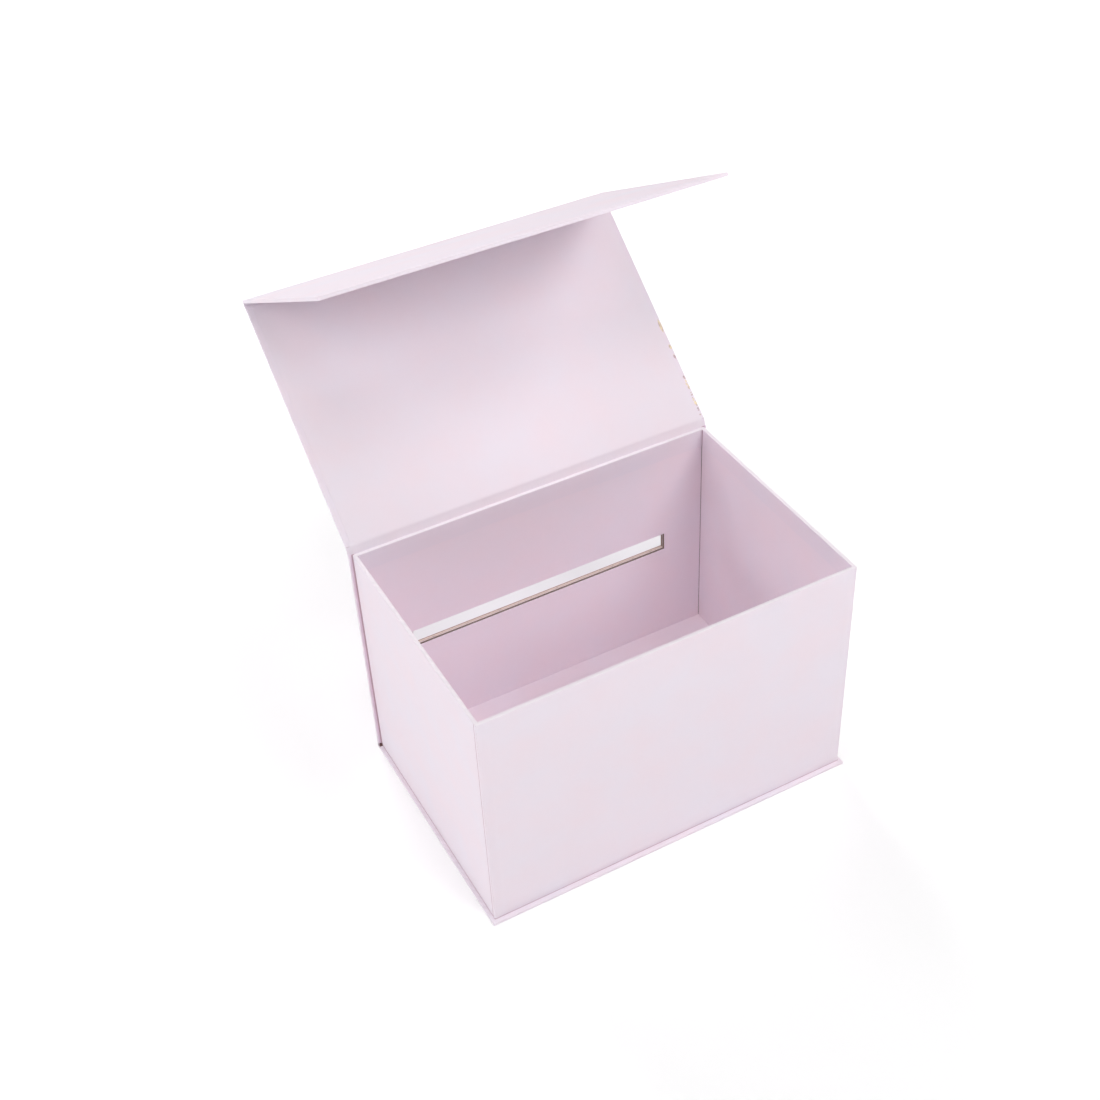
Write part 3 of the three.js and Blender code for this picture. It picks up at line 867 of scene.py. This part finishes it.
# ---------------------------------------------------------------- foil print on the lid
def leaf(length, width, turn=0.0):
    """A pointed leaf about the origin, along +Y before it is turned."""
    steps = 6
    edge = []
    for step in range(steps + 1):
        t = step / steps
        edge.append(Vector((width / 2 * math.sin(math.pi * t) ** 0.8, length * (t - 0.5))))
    outline = edge + [Vector((-p.x, p.y)) for p in edge[-2:0:-1]]
    return [Matrix.Rotation(turn, 2) @ p for p in outline]


def stamp(corners, faces, outline, centre, across, along):
    """Adds a thin piece of foil to the corners and faces: an outline on the plane of two directions."""
    normal = across.cross(along)
    first, size = len(corners), len(outline)
    for height in (FOIL_LIFT, FOIL_LIFT + FOIL_DEPTH):
        for p in outline:
            corners.append(centre + across * p.x + along * p.y + normal * height)
    faces.append(tuple(reversed(range(first, first + size))))
    faces.append(tuple(range(first + size, first + 2 * size)))
    faces.extend(band(first, first + size, size))


def add_foil():
    """Small foil leaves scattered on the lid's outer face by its right edge, flecks that come round
    that edge, and dots beside them on the inner face."""
    shuffle = random.Random(SEED)
    low, high = lid.box("lid_wrap")
    y_axis, z_axis = Vector((0, 1, 0)), Vector((0, 0, 1))
    corners, faces = [], []

    leaves = 46
    start = low.y + 4 * MM
    spray_length = 0.43 * (high.y - low.y)
    spray_width = 30 * MM
    edge_gap = 1.5 * MM
    for _ in range(leaves):
        reach = spray_width * shuffle.random() ** 1.8
        along = start + spray_length * shuffle.random()
        size = shuffle.uniform(1.5, 7) * MM
        outline = leaf(size, size * 0.38, shuffle.uniform(-0.9, 0.9))
        centre = Vector((high.x - edge_gap - reach, along, low.z))
        stamp(corners, faces, outline, centre, -X_AXIS, y_axis)

    edge_flecks = 6
    largest_size, largest_width = 12 * MM, 2.4 * MM
    for i in range(edge_flecks):
        largest = i == edge_flecks - 1
        along = start + spray_length * (i + shuffle.uniform(0.2, 0.7)) / edge_flecks
        size = largest_size if largest else shuffle.uniform(3.2, 5.2) * MM
        width = largest_width if largest else shuffle.uniform(1.4, 2.1) * MM
        turn = shuffle.uniform(-0.2, 0.2) * (not largest)
        on_face = Vector((high.x - EDGE_RADIUS - width / 2, along, high.z))
        stamp(corners, faces, leaf(size, width, turn), on_face, X_AXIS, y_axis)
        round_edge = leaf(size, high.z, math.pi / 2)
        stamp(corners, faces, round_edge, Vector((high.x, along, 0)), y_axis, z_axis)

    dots = 16
    dots_start = low.y + 3 * MM
    dots_length, dots_width = 0.4 * spray_length, 1.2 * MM
    for _ in range(dots):
        along = dots_start + dots_length * shuffle.random()
        size = shuffle.uniform(0.8, 1.4) * MM
        inset = EDGE_RADIUS + size / 2 + dots_width * shuffle.random()
        centre = Vector((high.x - inset, along, high.z))
        stamp(corners, faces, leaf(size, size), centre, X_AXIS, y_axis)

    piece = solid("foil_flecks", corners, faces)
    piece.data.transform(lid.matrix)
    complete(piece, foil_print, "lid")


# ---------------------------------------------------------------- carried-over CAD nodes
def paint_cad_nodes():
    """The boards, the corner tapes and the magnets keep their CAD shape under new materials."""
    back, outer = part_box("tray_back_board")[0].y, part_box("spine_board")[1].y
    board = board_core("greyboard_cut", back, outer, SLOT_HIGH.x)
    tape, steel = kraft_tape(), magnet_steel()
    for name, node in frame["nodes"].items():
        if name.endswith("_board"):
            material = board
        elif name.startswith("corner_stay"):
            material = tape
        elif "magnet" in name:
            material = steel
        else:
            continue
        node.data.materials.clear()
        node.data.materials.append(material)


# ---------------------------------------------------------------- studio
def add_floor():
    """A pale sweep that glows a little, more so far from the box, where the lamps reach it less: painted
    light. It is greyer close behind the box, in the lid's shade: a painted shadow."""
    pale, shaded = (0.97, 0.97, 0.97), (0.72, 0.705, 0.73)
    shade_centre = (TRAY_HIGH.x / 3, 2 * TRAY_HIGH.y, 0)
    shade_reach = (0.12, 0.17)  # metres from its centre, where it starts to end and where it ends
    least_glow, most_glow = 0.14, 0.4
    glow_reach = (0.2, 1.3)  # metres from the box's middle, where the glow is least and most
    half = 8.0
    gap = 0.1 * MM  # between the box and the floor
    material, tree, principled = shader("studio_floor", pale, 0.9)
    in_light = spread(tree, distance_from(tree, shade_centre), 0, 1, source=shade_reach)
    tree.links.new(blend_colours(tree, in_light, shaded, pale), principled.inputs["Base Color"])
    from_box = distance_from(tree, (0, 0, 0))
    glow = spread(tree, from_box, least_glow, most_glow, source=glow_reach)
    tree.links.new(glow, principled.inputs["Emission Strength"])
    principled.inputs["Emission Color"].default_value = (1, 1, 1, 1)
    corners = [(-half, -half, 0), (half, -half, 0), (half, half, 0), (-half, half, 0)]
    mesh = bpy.data.meshes.new("studio_floor")
    mesh.from_pydata(corners, [], [(0, 1, 2, 3)])
    floor = make_object("studio_floor", mesh)
    floor.location.z = cad_box[0][2] - gap
    floor.data.materials.append(material)


def add_lamp(name, place, size, power):
    """A round soft lamp aimed at the middle of the box."""
    data = bpy.data.lights.new(name, "AREA")
    data.shape = "DISK"
    data.size = size
    data.energy = power
    lamp = make_object(name, data)
    place = Vector(place)
    lamp.location = place
    aim = Vector((0, 0, cad_box[1][2] / 3))
    lamp.rotation_euler = (aim - place).to_track_quat("-Z", "Y").to_euler()


def add_studio():
    """Soft lamps all round, so that no side of the box and no part of its inside falls dark."""
    add_floor()
    world = bpy.data.worlds.new("studio")
    world.use_nodes = True
    sky = world.node_tree.nodes["Background"]
    sky.inputs["Color"].default_value = (1, 1, 1, 1)
    sky.inputs["Strength"].default_value = SKY_STRENGTH
    bpy.context.scene.world = world
    for name, (place, size, power) in LAMPS.items():
        add_lamp(name, place, size, power)
    view = bpy.context.scene.view_settings
    view.view_transform = "Standard"
    view.look = "None"


def add_camera():
    cos_yaw, sin_yaw = math.cos(CAMERA_YAW), math.sin(CAMERA_YAW)
    cos_pitch, sin_pitch = math.cos(CAMERA_PITCH), math.sin(CAMERA_PITCH)
    forward = Vector((-sin_yaw * cos_pitch, cos_yaw * cos_pitch, -sin_pitch))
    level = Vector((cos_yaw, sin_yaw, 0))
    up = level.cross(forward)
    cos_roll, sin_roll = math.cos(CAMERA_ROLL), math.sin(CAMERA_ROLL)
    right = level * cos_roll + up * sin_roll
    top = up * cos_roll - level * sin_roll
    data = bpy.data.cameras.new("camera")
    data.lens = LENS
    data.sensor_width = SENSOR_WIDTH
    camera = make_object("camera", data)
    turned = Matrix((right, top, -forward)).transposed().to_4x4()
    turned.translation = CAMERA_PLACE
    camera.matrix_world = turned
    bpy.context.scene.camera = camera


noise.seed_set(SEED)
add_camera()
add_studio()
paint_cad_nodes()
add_tray_wrap()
add_corner_laps()
add_painted_shade_lines()
add_rim_seam_shades()
add_tray_linings()
add_panels()
add_panel_linings()
add_base_hinge()
add_lid_hinge()
add_flap_hinge()
add_foil()
